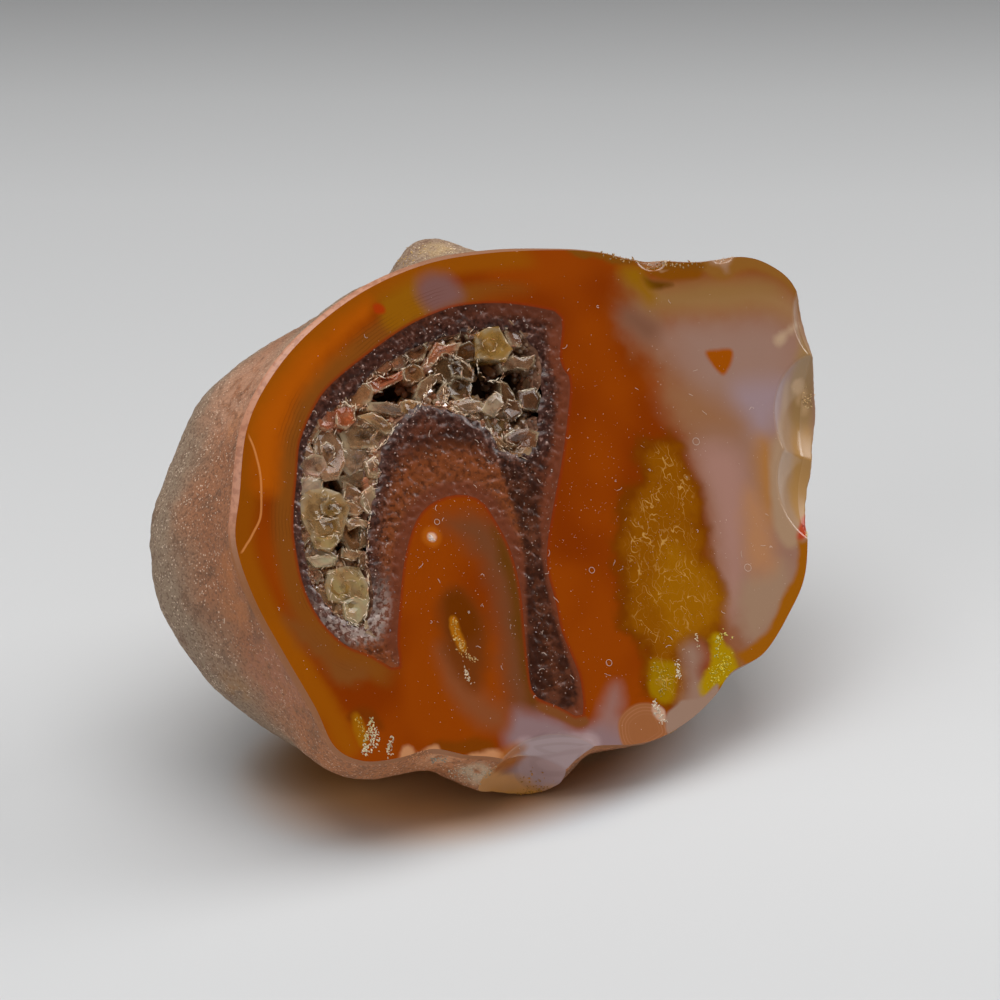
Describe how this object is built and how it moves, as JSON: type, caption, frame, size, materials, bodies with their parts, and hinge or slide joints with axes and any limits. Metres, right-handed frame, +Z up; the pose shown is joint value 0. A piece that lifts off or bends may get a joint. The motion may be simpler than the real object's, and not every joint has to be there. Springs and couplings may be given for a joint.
{
  "type": "agate",
  "caption": "Half agate nodule with a sawn and polished orange face, a pocket of quartz crystals and a rough brown rind, lying on a small flat.",
  "frame": {"origin": "middle of the stone's bounding box on the surface that it lies on", "axes": "+Z up; the sawn face looks towards -Y and 38 degrees up; +X along the face's long way, to the right of somebody who looks at the face"},
  "size_m": [0.0736, 0.0464, 0.0466],
  "materials": {
    "chalcedony": "polished",
    "rind": "matte",
    "druse": "satin",
    "quartz": "gloss"
  },
  "bodies": {
    "root": {"agate": "chalcedony"}
  },
  "joints": []
}
